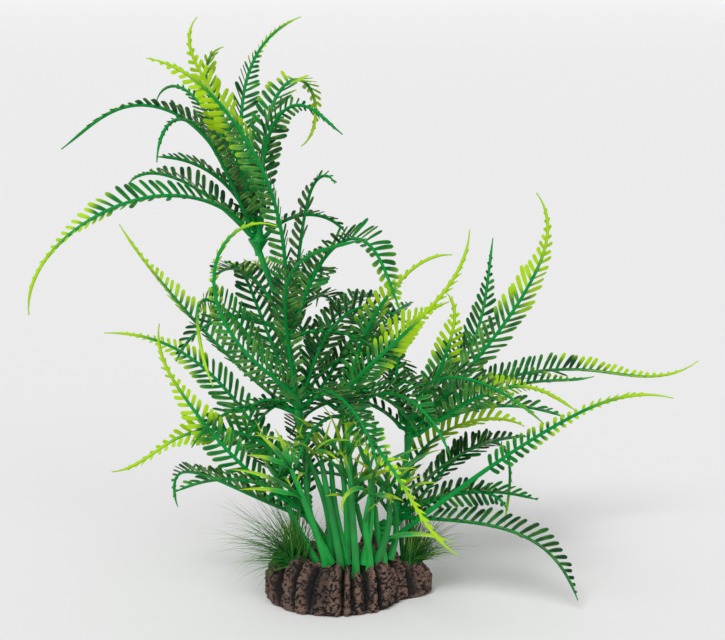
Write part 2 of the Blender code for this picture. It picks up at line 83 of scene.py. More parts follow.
# Each frond: the CAD part's heading, rise, length, droop, bend, sway, flick, roll, tier and fold,
# which raises both rows of leaflets from the blade's plane; then its look: its tone from dark
# to fresh green, the strength of the lime airbrush, where along the frond the airbrush starts, and
# where the leaflets end in a whip of small teeth. SHADED is the look of a frond deep in the plant.
# The dark tone of SHADED is painted shade, on fronds that lie deep in the plant.
SHADED = (0.12, 0.20, 0.80, 0.90)
FRONDS = {
    "crown": (
        (213, 66, 0.15, 131, 0.7, -15, -30, -35, 0, 30, 0.45, 0.9, 0.55, 0.74),
        (150, 39, 0.08, 56, 2.1, 14, -35, -5, 0, 45, 0.15, 0.25, 0.7, 0.8),
        (181, 70, 0.13, 176, 2.2, 12, 70, 10, 6, 40, 0.2, 0.35, 0.8, 0.7),
        (234, 57, 0.125, 130, 2.9, 20, -10, -20, 3, 30, 0.12, 0.2, 0.8, 0.7),
        (231, 75, 0.11, 30, 2.0, -39, 90, 65, 6, 10, 0.6, 1.0, 0.38, 0.8),
        (140, 60, 0.1, -22, 1.0, 18, 90, 10, 3, 10, 0.2, 0.9, 0.7, 0.96),
        (121, 62, 0.147, 48, 1.6, -76, 0, 5, 6, 30, 0.4, 0.8, 0.66, 0.7),
        (59, 90, 0.137, 318, 2.8, -3, 63, 0, 3, 10, 0.4, 0.95, 0.55, 0.82),
        (307, 89, 0.104, 200, 2.3, 10, 85, -80, 9, 10, 0.15, 0.1, 0.8, 0.7),
        (105, 45, 0.13, 30, 3.0, 40, -90, -10, 0, 30, 0.2, 0.4, 0.8, 0.76),
    ),
    "middle": (
        (281, 84, 0.165, 42, 0.8, -105, -35, 50, 9, 30, 0.45, 1.0, 0.62, 0.92),
        (339, 83, 0.093, 49, 4.0, -30, -90, 0, 6, 15, 0.15, 0.3, 0.85, 0.9),
        (320, 67, 0.135, 191, 2.2, -29, 90, 5, 0, 40, 0.25, 0.45, 0.78, 0.96),
        (30, 79, 0.085, 195, 1.5, 90, 45, 60, 0, 20, 0.15, 0.3, 0.8, 0.8),
        (90, 72, 0.11, 105, 0.6, 40, 70, 0, 0, 40, 0.45, 1.0, 0.5, 0.95),
    ),
    "lower": (
        (240, 87, 0.15, 85, 0.9, 85, 15, 15, 6, 15, 0.25, 0.45, 0.75, 0.66),
        (275, 27, 0.165, -165, 3.0, -105, 10, 45, 3, 25, 0.45, 0.9, 0.66, 0.7),
        (120, 46, 0.085, -25, 0.6, 45, -65, -30, 3, 15, *SHADED),
        (150, 25, 0.14, -20, 0.6, -5, 5, -15, 0, 40, 0.35, 0.9, 0.52, 0.78),
        (185, 61, 0.15, 195, 2.5, 120, 90, -45, 3, 25, 0.5, 0.8, 0.55, 0.7),
        (30, 73, 0.095, 175, 2.0, 10, 90, 60, 6, 15, *SHADED),
        (30, 41, 0.055, -20, 0.6, -10, -60, 60, 0, 15, *SHADED),
        (195, 54, 0.03, 100, 1.0, 25, 20, -75, 0, 15, *SHADED),
        (300, 39, 0.086, 105, 1.0, 5, -10, 0, 6, 20, 0.15, 0.15, 0.8, 0.85),
    ),
    "centre": (
        (90, 58, 0.045, 65, 0.9, -50, 40, 30, 0, 15, *SHADED),
        (270, 34, 0.143, -30, 2.1, 100, 25, -45, 6, 25, 0.6, 1.0, 0.42, 0.66),
        (313, 84, 0.104, 50, 1.0, 47, -40, -20, 6, 30, 0.6, 1.0, 0.45, 0.7),
        (15, 73, 0.085, 70, 1.2, 25, 5, 75, 0, 15, 0.5, 0.95, 0.45, 0.8),
        (270, 47, 0.13, 115, 0.6, 65, 45, 30, 0, 20, 0.55, 1.0, 0.5, 0.6),
        (310, 49, 0.088, 119, 1.2, 5, 10, 20, 0, 30, 0.25, 0.3, 0.75, 0.8),
    ),
    "right": (
        (285, 85, 0.11, 130, 0.8, 55, 5, 60, 3, 15, 0.12, 0.4, 0.6, 0.8),
        (180, 72, 0.045, -25, 0.6, 0, -40, -90, 6, 15, *SHADED),
        (30, 35, 0.112, -60, 1.7, 45, -40, 60, 6, 30, 0.2, 0.2, 0.78, 0.8),
        (330, 50, 0.147, -40, 2.9, 25, 40, -60, 3, 30, 0.35, 0.95, 0.55, 0.84),
        (60, 16, 0.2, 45, 1.5, -60, 70, 25, 0, 40, 0.25, 1.0, 0.62, 0.84),
        (30, 20, 0.115, 40, 1.6, 0, 25, 25, 3, 40, 0.15, 0.5, 0.7, 0.8),
        (330, 37, 0.12, 75, 2.3, -35, 30, -80, 0, 20, 0.55, 1.0, 0.42, 0.66),
        (0, 63, 0.07, -30, 2.0, -15, 45, -90, 9, 20, 0.55, 1.0, 0.42, 0.8),
    ),
    "low_right": (
        (15, 51, 0.132, 225, 2.0, 65, 15, 50, 0, 30, 0.18, 0.9, 0.66, 0.66),
        (59, 102, 0.095, 110, 0.6, -75, -20, -10, 3, 30, 0.3, 1.0, 0.34, 0.92),
        (345, 27, 0.065, 45, 2.1, -30, -45, 75, 6, 15, 0.08, 0.1, 0.8, 0.9),
        (330, 5, 0.11, 110, 2.6, 35, 35, 20, 3, 40, 0.1, 0.15, 0.7, 0.9),
    ),
    "foot": (
        (320, 40, 0.185, 20, 3.0, 15, -30, 90, 0, 15, 0.45, 0.9, 0.6, 0.72),
    ),
    "low_left": (
        (200, 30, 0.125, -33, 0.6, -33, 40, -100, 3, 10, 0.45, 0.9, 0.5, 0.74),
        (150, 58, 0.155, 80, 2.2, 5, 15, -60, 0, 25, 0.35, 1.0, 0.62, 0.78),
        (165, 81, 0.12, 150, 1.0, 45, 75, -60, 6, 20, 0.45, 1.0, 0.48, 0.74),
        (188, 23, 0.1, 107, 3.0, -80, -90, 5, 0, 35, 0.22, 0.25, 0.85, 0.8),
    ),
}
# Short inner fronds of each rosette, which only this model shows: heading, rise, length, droop,
# bend, sway and tier. Their dark tone is painted shade in the middle of the rosette, and their
# leaflets reach almost to the tip.
INNER_FRONDS = {
    "crown": (
        (200, 72, 0.065, 70, 1.0, 10, 6), (100, 65, 0.07, 80, 1.0, 10, 3),
        (20, 50, 0.05, 100, 1.0, 10, 0),
    ),
    "middle": (
        (200, 45, 0.065, 110, 1.0, 10, 3), (130, 60, 0.08, 100, 1.0, -10, 6),
        (60, 50, 0.07, 110, 1.0, 10, 3), (350, 30, 0.055, 90, 1.0, 10, 0),
    ),
    "lower": (
        (20, 62, 0.085, 150, 1.2, 0, 6), (350, 42, 0.07, 110, 1.0, 0, 3),
        (60, 70, 0.1, 90, 1.0, 0, 6), (200, 30, 0.06, 90, 1.0, 0, 0),
        (110, 60, 0.09, 110, 1.0, 0, 3),
    ),
    "centre": (
        (200, 45, 0.06, 120, 1.0, 0, 3), (340, 55, 0.065, 110, 1.0, 0, 6),
        (60, 60, 0.085, 60, 1.0, 0, 6), (130, 65, 0.08, 50, 1.0, 0, 3),
        (240, 20, 0.05, 80, 1.0, 0, 0),
    ),
    "right": (
        (170, 55, 0.07, 120, 1.0, 0, 3), (120, 65, 0.09, 60, 1.0, 0, 6),
        (350, 40, 0.08, 60, 1.0, 0, 0), (60, 50, 0.1, 60, 1.0, 0, 3),
    ),
    "low_right": (
        (20, 55, 0.08, 60, 1.0, 0, 6), (340, 38, 0.075, 50, 1.0, 0, 3),
        (160, 60, 0.06, 90, 1.0, 0, 3),
    ),
    "low_left": (
        (140, 50, 0.08, 60, 1.0, 0, 3), (205, 50, 0.075, 70, 1.0, 0, 3),
        (100, 70, 0.07, 80, 1.0, 0, 6),
    ),
}
INNER_FOLD = 25
INNER_WHIP = 0.92
# INNER_SHADE gives the inner fronds a dark tone, painted shade.
INNER_SHADE = (0.05, 0.3)
INNER_LIME = (0.2, 0.8)
# The bare share of a frond below its first leaflet: PETIOLE, unless the frond is named here.
PETIOLE = 0.05
LONG_PETIOLES = {"foot_frond_1": 0.42}
ROOT_OFFSET = 0.0032
FROND_HALF_WIDTH = 0.0092
WIDTH_PER_LENGTH = 0.115
TOOTH_LENGTH = 0.0024
TOOTH_HALF_WIDTH = 0.00062
# A frond has turned by its full roll at ROLL_BY, and flicks over the last FLICK_OVER.
ROLL_BY = 0.35
FLICK_OVER = 0.3
SPINE_STEPS = 100
TIER = 0.001

STRAP_HALF_WIDTH = 0.0013
SHAFT_RADIUS = 0.0015
SHOOT_HALF_WIDTH = 0.0019
PLUG_RADIUS = 0.0024
# Each bunch: its shaft's foot, elbow and top, and then its straps as their place along the shaft,
# heading, rise, length and droop. The elbow's place is ELBOW_AT.
ELBOW_AT = 0.6
STRAP_GRASS = (
    (
        ((-0.013, -0.018), (-0.023, -0.021, 0.059), (-0.029, -0.022, 0.075)),
        (0.6, 185, 45, 0.041, 42), (0.6, 205, 30, 0.036, 30), (1.0, 195, 38, 0.025, 35),
        (1.0, 180, 58, 0.026, 20), (1.0, 165, 78, 0.022, 20), (1.0, 20, 82, 0.024, 15),
    ),
    (
        ((-0.005, -0.021), (-0.012, -0.018, 0.066), (-0.014, -0.017, 0.078)),
        (0.7, 230, 75, 0.03, 50), (1.0, 150, 78, 0.018, 10), (1.0, 240, 50, 0.016, 40),
        (1.0, 330, 80, 0.022, 10),
    ),
    (
        ((0.003, -0.022), (0.001, -0.02, 0.06), (0.0, -0.019, 0.079)),
        (0.7, 250, 75, 0.03, 40), (1.0, 180, 86, 0.023, 5), (1.0, 350, 76, 0.021, 5),
        (1.0, 300, 60, 0.02, 20),
    ),
    (
        ((0.01, -0.019), (0.008, -0.019, 0.045), (0.01, -0.02, 0.06)),
        (1.0, 210, 70, 0.027, 190), (1.0, 330, 80, 0.03, 20), (0.6, 290, 70, 0.026, 60),
        (1.0, 350, 20, 0.018, 50),
    ),
    (
        ((0.017, -0.014), (0.014, -0.012, 0.04), (0.013, -0.011, 0.052)),
        (0.3, 345, 28, 0.04, 50), (1.0, 300, 60, 0.022, 80), (1.0, 345, 75, 0.026, 30),
        (1.0, 190, 85, 0.028, 10),
    ),
)
# More shoots of each bunch. They stand beside its shaft by SHOOT_APART, bow sideways by
# SHOOT_BOW and reach a share of its height between the two of SHOOT_HEIGHT.
SHOOTS_EACH = 2
SHOOT_APART = 0.006
SHOOT_BOW = 0.004
SHOOT_HEIGHT = (0.78, 1.10)
SHOOT_FOOT = 0.024
# Straps fan out from each shoot's top. One follows the next by the golden angle, and the other
# values lie between the two given.
SPRAY_STRAPS = 6
SPRAY_TURN = 137.5
SPRAY_RISE = (35, 86)
SPRAY_LENGTH = (0.018, 0.038)
SPRAY_DROOP = (10, 75)
SPRAY_HALF_WIDTH = (0.0009, 0.0014)
# Each tuft: its foot, how much lime its blades carry, and their directions as heading, rise,
# length and droop. The first six directions are the CAD part's.
TUFTS = {
    "hair_grass_left": (
        (-0.027, -0.014, 0.026),
        0.45,
        (170, 55, 0.042, 60), (190, 28, 0.034, 45), (150, 66, 0.036, 25), (225, 75, 0.034, 20),
        (280, 62, 0.024, 30), (240, 84, 0.028, 10), (70, 80, 0.038, 12), (345, 68, 0.034, 20),
        (180, 76, 0.042, 22), (195, 14, 0.03, 15), (170, 45, 0.048, 40),
    ),
    "hair_grass_right": (
        (0.031, 0.003, 0.021),
        1.0,
        (0, 42, 0.028, 45), (25, 62, 0.026, 40), (335, 60, 0.026, 30), (290, 76, 0.022, 10),
        (90, 70, 0.02, 20), (50, 80, 0.018, 10), (100, 84, 0.044, 6), (40, 76, 0.042, 18),
        (10, 55, 0.036, 40), (350, 30, 0.026, 25),
    ),
}
# How far blades stray from their direction in degrees, the steepest rise, and the shares of the
# direction's length that they reach.
HEADING_SPREAD = 15
RISE_SPREAD = 8
STEEPEST = 88
HAIR_LENGTH = (0.55, 1.18)
TUFT_RADIUS = 0.0050
TUFT_DEPTH = 0.003

# Each lobe of the base is an oval: its middle's x and y and its half sizes. The top steps down
# towards the right.
BASE_HEIGHT = 0.027
BASE_LOBES = ((-0.008, 0.0, 0.034, 0.030), (0.020, 0.010, 0.022, 0.016))
STEP_FROM = 0.014
STEP_WIDTH = 0.016
STEP_DROP = 0.006

# Stations run from a leaflet's root to its tip. Its half width there, as a share of the widest, is
# CLUB for a leaflet and POINT for a tooth of the whip.
STATIONS = np.array([0.0, 0.12, 0.35, 0.62, 0.84, 0.95, 1.0])
CLUB = np.array([0.58, 0.68, 0.88, 1.0, 0.98, 0.74, 0.32])
POINT = np.array([1.0, 0.92, 0.74, 0.52, 0.32, 0.18, 0.08])
# Degrees between a leaflet and the midrib, and how far it closes by the tip and as a tooth.
LEAFLET_ANGLE = 64.0
TIP_CLOSES = 14.0
TOOTH_CLOSES = 22.0
# How one leaflet differs from the next: degrees of angle, fold and tilt, and shares of its reach.
ANGLE_SPREAD = 3.0
FOLD_SPREAD = 4.0
TILT_SPREAD = 9.0
REACH_SPREAD = 0.04
DROOP_SPREAD = 0.05

# Marks are numbers kept on each point of a piece, which the materials read.
MARKS = ("lime", "edge", "rib", "shade")


def ring_section(sides):
    """A round section: points evenly round the unit circle, anticlockwise."""
    angle = np.arange(sides) * 2 * np.pi / sides
    return np.stack([np.cos(angle), np.sin(angle)], axis=1)


# A leaflet's section: a lens with a shallow groove down the middle of its upper face.
LEAFLET_SECTION = np.array(
    [(1.0, 0.0), (0.55, 0.75), (0.0, 0.25), (-0.55, 0.75), (-1.0, 0.0), (0.0, -0.7)]
)
# LEAFLET_EDGE marks the thin rims of a leaflet, where the painted highlight of the edge colour goes.
LEAFLET_EDGE = np.array([1.0, 0.25, 0.0, 0.25, 1.0, 0.2])
# A strap's section: a shallow channel with thin edges.
STRAP_SECTION = np.array(
    [(1.0, 0.9), (0.5, 0.65), (0.0, 0.2), (-0.5, 0.65), (-1.0, 0.9), (-0.5, -0.2), (0.0, -0.9),
     (0.5, -0.2)]
)
# STRAP_EDGE marks a strap's thin edges for a faint painted highlight.
STRAP_EDGE = np.array([1.0, 0.3, 0.0, 0.3, 1.0, 0.2, 0.0, 0.2])
# A shoot's section: an oval with a groove down the back and a broad low ridge in front.
SHOOT_SECTION = np.array(
    [(1.0, 0.1), (0.72, 0.75), (0.3, 0.85), (0.0, 0.6), (-0.3, 0.85), (-0.72, 0.75), (-1.0, 0.1),
     (-0.72, -0.6), (-0.3, -0.7), (0.0, -1.0), (0.3, -0.7), (0.72, -0.6)]
)
# SHOOT_EDGE marks a shoot's sides for the same faint painted highlight.
SHOOT_EDGE = np.array([0.5, 0.1, 0.0, 0.0, 0.0, 0.1, 0.5, 0.1, 0.0, 0.4, 0.0, 0.1])


def linked(name, data):
    """A new object of that data, in the scene."""
    obj = bpy.data.objects.new(name, data)
    bpy.context.scene.collection.objects.link(obj)
    return obj


class Skin:
    """Collects closed sleeves, which are rings of points capped at both ends, for one piece."""

    def __init__(self):
        self.points = []
        self.faces = []
        self.marks = {mark: [] for mark in MARKS}
        self.count = 0

    def add(self, sleeves, **marks):
        """Adds sleeves of the shape (count, rings, sides, 3). Each ring runs anticlockwise about
        the way from one ring to the next, so that the quads between rings face outwards."""
        shape = sleeves.shape[:3]
        index = self.count + np.arange(np.prod(shape)).reshape(shape)
        ahead = np.roll(index, -1, axis=2)
        quads = [index[:, :-1], ahead[:, :-1], ahead[:, 1:], index[:, 1:]]
        self.faces += np.stack(quads, axis=-1).reshape(-1, 4).tolist()
        self.faces += index[:, 0, ::-1].tolist() + index[:, -1].tolist()
        self.points.append(sleeves.reshape(-1, 3))
        for mark, values in self.marks.items():
            values.append(np.broadcast_to(marks.get(mark, 0.0), shape).reshape(-1))
        self.count += index.size

    def piece(self, name, material, slot, *nodes, crease=50.0):
        """The collected sleeves as one piece that rides on the root and stands for the nodes."""
        mesh = bpy.data.meshes.new(name)
        mesh.from_pydata(np.concatenate(self.points).tolist(), [], self.faces)
        for mark, values in self.marks.items():
            layer = mesh.attributes.new(mark, "FLOAT", "POINT")
            layer.data.foreach_set("value", np.concatenate(values).astype(np.float32))
        mesh.shade_smooth()
        mesh.set_sharp_from_angle(angle=math.radians(crease))
        mesh.materials.append(material)
        obj = linked(name, mesh)
        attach(obj, "root")
        if nodes:
            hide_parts(*nodes)
        return obj


def sweep(centre, across, upward, section, half_width, half_height):
    """Carries a closed section along paths: each point is the centre, plus across times the half
    width times the section's x, plus upward times the half height times its y."""
    x = section[:, 0] * np.asarray(half_width)[..., None]
    y = section[:, 1] * np.asarray(half_height)[..., None]
    flat = across[..., None, :] * x[..., None]
    return centre[..., None, :] + flat + upward[..., None, :] * y[..., None]


def smooth(value):
    """Eases 0..1 at both ends: 3v^2 - 2v^3, held at 0 and 1 outside."""
    value = np.clip(value, 0, 1)
    return value * value * (3.0 - 2.0 * value)


def unit(vectors):
    """Vectors scaled to length 1."""
    return vectors / np.linalg.norm(vectors, axis=-1, keepdims=True)


class Midrib:
    """A curve whose pitch is rise - droop * t^bend plus a flick near the tip, and whose heading
    is heading + sway * t. Its sideways direction starts level and is turned back by the
    running sum of sin(pitch) * sway, which keeps it from twisting, and then turned by roll."""

    def __init__(self, root, heading, rise, length, droop, bend=1.0, sway=0.0, flick=0.0, roll=0.0):
        self.t = np.linspace(0, 1, SPINE_STEPS + 1)
        shape = (heading, rise, droop, bend, sway, flick)
        pitch, turn = self.angles(self.t, *shape)
        halfway = (self.t[1:] + self.t[:-1]) / 2
        steps = self.direction(*self.angles(halfway, *shape))
        steps = np.cumsum(steps, axis=0) * length / SPINE_STEPS
        self.points = np.asarray(root) + np.vstack([np.zeros(3), steps])
        self.along = self.direction(pitch, turn)
        level = np.stack([-np.sin(turn), np.cos(turn), np.zeros_like(turn)], axis=1)
        over = np.cross(self.along, level)
        twist = -np.radians(sway) * np.cumsum(np.sin(pitch)) / SPINE_STEPS
        twist += np.radians(roll) * np.clip(self.t / ROLL_BY, 0, 1)
        self.across = level * np.cos(twist)[:, None] + over * np.sin(twist)[:, None]
        self.upward = np.cross(self.along, self.across)

    @staticmethod
    def angles(t, heading, rise, droop, bend, sway, flick):
        """Pitch and heading at t, in radians."""
        tip = np.clip((t - (1 - FLICK_OVER)) / FLICK_OVER, 0, 1)
        pitch = np.radians(rise - droop * t**bend + flick * tip**2)
        return pitch, np.radians(heading + sway * t)

    @staticmethod
    def direction(pitch, turn):
        """Unit vectors of that pitch and heading."""
        flat = np.cos(pitch)
        return np.stack([flat * np.cos(turn), flat * np.sin(turn), np.sin(pitch)], axis=1)

    def at(self, t):
        """Place, direction, sideways and upward at each t, blended between the steps."""
        found = []
        for rows in (self.points, self.along, self.across, self.upward):
            found.append(np.stack([np.interp(t, self.t, column) for column in rows.T], axis=-1))
        return found


def leaflet_places(length, bare, whip, spacing):
    """Places of the leaflets along the midrib, evenly spaced from the petiole to just short of
    the tip, or to where a whip's last bare stretch begins."""
    last = 0.985 if whip > 0.88 else 0.93
    return np.arange(bare + 0.5 * spacing / length, last, spacing / length)


def add_leaflets(skin, rib, length, bare, fold, whip, lime, shade, sizes, rng):
    """Adds a row of leaflets on each side of the midrib. They swell past the petiole, keep their
    reach and shrink before the whip, whose teeth are short and pointed. A leaflet is a lens
    section carried out along u * reach, at an angle from the midrib that closes towards the tip,
    raised by the fold and bent towards the tip and a little down by u squared."""
    places = leaflet_places(length, bare, whip, sizes.leaflet_spacing)
    t = np.repeat(places, 2)
    hand = np.tile([1.0, -1.0], len(places))
    t = np.clip(t + hand * 0.12 * sizes.leaflet_spacing / length, 0, 1)
    place, along, across, upward = rib.at(t)
    jitter = rng.normal(0.0, 1.0, (5, len(t)))
    tooth = smooth((t - whip) / 0.12)
    swell = 0.60 + 0.40 * np.sin(np.clip((t - bare) / 0.45, 0, 1) * np.pi / 2)
    fall = 1 - 0.88 * smooth((t - whip + 0.32) / 0.44)
    fall *= np.clip((1 - t) / 0.09, 0, 1) ** 0.6
    body = min(FROND_HALF_WIDTH, WIDTH_PER_LENGTH * length) * swell * fall
    teeth = TOOTH_LENGTH * np.where(hand > 0, 1.0, 0.7) * np.clip((1 - t) / 0.2, 0.5, 1.0)
    angle = LEAFLET_ANGLE - TIP_CLOSES * t - TOOTH_CLOSES * tooth + ANGLE_SPREAD * jitter[0]
    angle = np.radians(angle)
    reach = np.maximum(body, teeth) / np.sin(angle) * (1.0 + REACH_SPREAD * jitter[1])
    lift = np.radians(fold + FOLD_SPREAD * jitter[2])[:, None]
    outward = across * hand[:, None] * np.cos(lift) + upward * np.sin(lift)
    way = along * np.cos(angle)[:, None] + outward * np.sin(angle)[:, None]
    u = STATIONS
    centre = place[:, None, :] + way[:, None, :] * (u * reach[:, None])[..., None]
    bend = (u**2 * reach[:, None])[..., None]
    droop = (0.06 + DROOP_SPREAD * jitter[3])[:, None, None]
    centre = centre + along[:, None, :] * bend * 0.08 - upward[:, None, :] * bend * droop
    flat = unit(along - way * np.sum(along * way, axis=1, keepdims=True)) * -hand[:, None]
    tilt = np.radians(TILT_SPREAD * jitter[4])[:, None]
    flat = flat * np.cos(tilt) + np.cross(way, flat) * np.sin(tilt)
    face = np.cross(way, flat)
    outline = CLUB + (POINT - CLUB) * tooth[:, None]
    size = np.clip(reach / FROND_HALF_WIDTH, 0, 1)
    wide = sizes.leaflet_width / 2
    half_width = (wide * (0.62 + 0.38 * size))[:, None] * outline
    half_width += (TOOTH_HALF_WIDTH - wide * 0.62) * tooth[:, None] * outline
    half_height = sizes.leaflet_thickness / 2 * (0.6 + 0.4 * size)[:, None] * np.sqrt(outline)
    flat, face = flat[:, None, :], face[:, None, :]
    sleeves = sweep(centre, flat, face, LEAFLET_SECTION, half_width, half_height)
    strength, start = lime
    airbrush = strength * smooth((t[:, None] + 0.22 * u - start + 0.03 * jitter[1:2].T) / 0.34)
    skin.add(
        sleeves,
        lime=airbrush[..., None],
        edge=np.maximum(LEAFLET_EDGE, (u > 0.97)[:, None])[None],
        shade=np.clip(shade + 0.10 * jitter[1], 0, 1)[:, None, None],
    )


def add_rib(skin, rib, root, bare, lime, shade, sizes):
    """Adds the midrib: a round section that starts a little inside the rosette's pin. It narrows
    past the petiole, then slowly, and then fast over the last tenth."""
    t = np.linspace(0, 1, 44)
    place, _, across, upward = rib.at(t)
    place[0] = root
    thin = 1 - 0.22 * smooth(t / 0.9) - 0.50 * smooth((t - 0.90) / 0.10)
    petiole = 1.0 + 0.30 * (1 - smooth((t - bare + 0.05) / 0.12))
    radius = sizes.midrib_width / 2 * thin * petiole
    strength, start = lime
    skin.add(
        sweep(place, across, upward, ring_section(8), radius, radius)[None],
        lime=(strength * smooth((t - start - 0.06) / 0.34))[None, :, None],
        rib=1.0,
        shade=shade,
    )


def add_frond(skin, hub, row, bare, sizes, rng):
    """Adds one frond, a midrib with its leaflets, that starts at the rosette's pin."""
    heading, rise, length, droop, bend, sway, flick, roll, tier, fold, shade, *lime, whip = row
    facing = np.array([math.cos(math.radians(heading)), math.sin(math.radians(heading)), 0.0])
    pin = np.array(hub) + (0.0, 0.0, tier * TIER)
    root = pin + facing * ROOT_OFFSET
    rib = Midrib(root, heading, rise, length, droop, bend, sway, flick, roll)
    add_rib(skin, rib, pin + facing * 0.001, bare, lime, shade, sizes)
    add_leaflets(skin, rib, length, bare, fold, whip, lime, shade, sizes, rng)


def frond(name, hub, row, material, sizes, rng):
    """One frond, standing for the CAD blade on the same curve."""
    skin = Skin()
    add_frond(skin, hub, row, LONG_PETIOLES.get(name, PETIOLE), sizes, rng)
    return skin.piece(name + "_leaf", material, "frond", name)


def inner_fronds(name, hub, rows, material, sizes, rng):
    """The short fronds inside one rosette, dark with painted shade, as one piece."""
    skin = Skin()
    for *curve, tier in rows:
        looks = (rng.uniform(*INNER_SHADE), *INNER_LIME, INNER_WHIP)
        add_frond(skin, hub, (*curve, 0, 0, tier, INNER_FOLD, *looks), PETIOLE, sizes, rng)
    return skin.piece(name, material, "frond")


def curve_through(knots, per_span):
    """A smooth path through the knots: a Catmull-Rom cubic over each span."""
    knots = np.asarray(knots, float)
    ends = np.vstack([2 * knots[:1] - knots[1:2], knots, 2 * knots[-1:] - knots[-2:-1]])
    u = np.linspace(0, 1, per_span, endpoint=False)[None, :, None]
    a, b, c, d = (ends[k : len(ends) - 3 + k, None, :] for k in range(4))
    spans = b + 0.5 * u * (c - a + u * (2 * a - 5 * b + 4 * c - d + u * (3 * (b - c) + d - a)))
    return np.vstack([spans.reshape(-1, knots.shape[1]), knots[-1:]])


def upright_frame(points):
    """Two directions across a path that runs mostly upwards: the world's X with its share along
    the path taken out, and the one square to that and to the path."""
    along = unit(np.gradient(points, axis=0))
    across = unit(np.array([1.0, 0.0, 0.0]) - along * along[:, :1])
    return across, np.cross(along, across)


def stem(name, material, sizes):
    """A moulded stem: a round section along its route. The radius swells to a ringed collar at
    each rosette and, under the crown, to a flared cup."""
    (x, y), *route = STEMS[name]
    thin, collar = sizes.stem_width / 2, sizes.stem_width / 2 + 0.0009
    knots = [(x, y, 0.016, PLUG_RADIUS), (x, y, BASE_HEIGHT + 0.001, PLUG_RADIUS * 0.9)]
    for part in route:
        if not isinstance(part, str):
            knots.append((*part, thin))
            continue
        x, y, z = HUBS[part]
        if part == "crown":
            knots += [(x, y, z - 0.0085, thin), (x, y, z - 0.0055, thin * 1.5)]
            knots += [(x, y, z - 0.0016, 0.0046), (x, y, z - 0.0003, 0.0049)]
            knots += [(x, y, z + 0.0002, 0.0030)]
            knots += [(x, y, z + PIN_RISE - 0.001, thin), (x, y, z + PIN_RISE, 0.0004)]
            continue
        rings = np.linspace(-0.0004, PIN_RISE - 0.0012, 9)
        knots += [(x, y, z + up, collar - 0.0006 * (k % 2)) for k, up in enumerate(rings)]
        knots += [(x, y, z + PIN_RISE - 0.0003, collar * 0.7), (x, y, z + PIN_RISE, 0.0004)]
    path = curve_through(knots, 6)
    places, radius = path[:, :3], path[:, 3]
    across, upward = upright_frame(places)
    skin = Skin()
    skin.add(sweep(places, across, upward, ring_section(20), radius, radius)[None], rib=1.0)
    return skin.piece(name + "_moulding", material, "stem", name)


def add_strap(skin, root, row, half_width, lime_from, rng):
    """Adds one strap: a channel section along a drooping midrib, turned so that its flat faces
    the front. Its half width swells from a narrow root and tapers over the outer three fifths to
    a fine rounded point."""
    heading, rise, length, droop = row
    roll = 75.0 * math.cos(math.radians(heading))
    rib = Midrib(root, heading, rise, length, droop, roll=roll)
    t = np.linspace(0, 1, 22)
    place, _, across, upward = rib.at(t)
    swell = 0.62 + 0.38 * smooth(t / 0.35)
    taper = np.clip((1 - t) / 0.60, 0.02, 1.0) ** 0.75
    width = half_width * swell * taper
    height = 0.00045 * (0.4 + 0.6 * taper)
    skin.add(
        sweep(place, across, upward, STRAP_SECTION, width, height)[None],
        lime=smooth((t - lime_from) / 0.55)[None, :, None],
        edge=STRAP_EDGE,
        shade=rng.uniform(0.2, 0.9),
    )


def add_stalk(skin, path, width, rng):
    """Adds a thick channel section along a path that runs mostly upwards."""
    across, upward = upright_frame(path)
    skin.add(
        sweep(path, across, upward, SHOOT_SECTION, width, width * 0.6)[None],
        edge=SHOOT_EDGE,
        shade=rng.uniform(0.35, 0.85),
    )


def add_shoot(skin, foot, top, bow, rng):
    """Adds a shoot: a stalk that narrows evenly from its foot to its top. Its path is
    foot + (top - foot) * t, pushed sideways by bow * sin(pi * t)."""
    t = np.linspace(0, 1, 30)
    path = foot + (top - foot) * t[:, None]
    path[:, 0] += bow * np.sin(np.pi * t)
    width = SHOOT_HALF_WIDTH * (1 - 0.38 * t)
    width[-1] *= 0.4
    add_stalk(skin, path, width, rng)


def add_spray(skin, root, rng):
    """Adds the straps that fan out from one shoot's top."""
    first = rng.uniform(0.0, 360.0)
    for strap in range(SPRAY_STRAPS):
        ranges = (SPRAY_RISE, SPRAY_LENGTH, SPRAY_DROOP)
        row = (first + SPRAY_TURN * strap, *(rng.uniform(*ends) for ends in ranges))
        add_strap(skin, root, row, rng.uniform(*SPRAY_HALF_WIDTH), rng.uniform(0.0, 0.6), rng)


def add_shoots(skin, shaft, rng):
    """Adds a bunch's further shoots, to its left and right in turn, each with its spray."""
    foot, _, top = shaft
    foot = np.array((*foot, SHOOT_FOOT))
    for number in range(SHOOTS_EACH):
        side = 1.0 if number % 2 else -1.0
        start = foot + (side * SHOOT_APART * 0.6, SHOOT_APART * 0.5, 0.0)
        reach = (np.array(top) - foot) * rng.uniform(*SHOOT_HEIGHT)
        end = start + reach + (side * SHOOT_APART, rng.uniform(0.0, SHOOT_APART), 0.0)
        add_shoot(skin, start, end, side * SHOOT_BOW * rng.uniform(0.3, 1.0), rng)
        add_spray(skin, end, rng)


def strap_bunch(name, shaft, rows, material, rng):
    """A bunch of strap grass: its shaft, the straps that leave it, and its further shoots."""
    foot, elbow, top = shaft
    knots = [(*foot, 0.018, PLUG_RADIUS), (*foot, BASE_HEIGHT + 0.001, 0.0018)]
    knots += [(*elbow, SHAFT_RADIUS), (*top, SHAFT_RADIUS * 0.7)]
    path = curve_through(knots, 14)
    skin = Skin()
    add_stalk(skin, path[:, :3], path[:, 3], rng)
    add_shoots(skin, shaft, rng)
    ends = np.array([(*foot, BASE_HEIGHT + 0.002), elbow, top])
    for at, *row in rows:
        root = ends[1] + (ends[2] - ends[1]) * (at - ELBOW_AT) / (1 - ELBOW_AT)
        if at < ELBOW_AT:
            root = ends[0] + (ends[1] - ends[0]) * at / ELBOW_AT
        add_strap(skin, root, row, STRAP_HALF_WIDTH, 0.25, rng)
    return skin.piece(name + "_straps", material, "strap_grass", name)


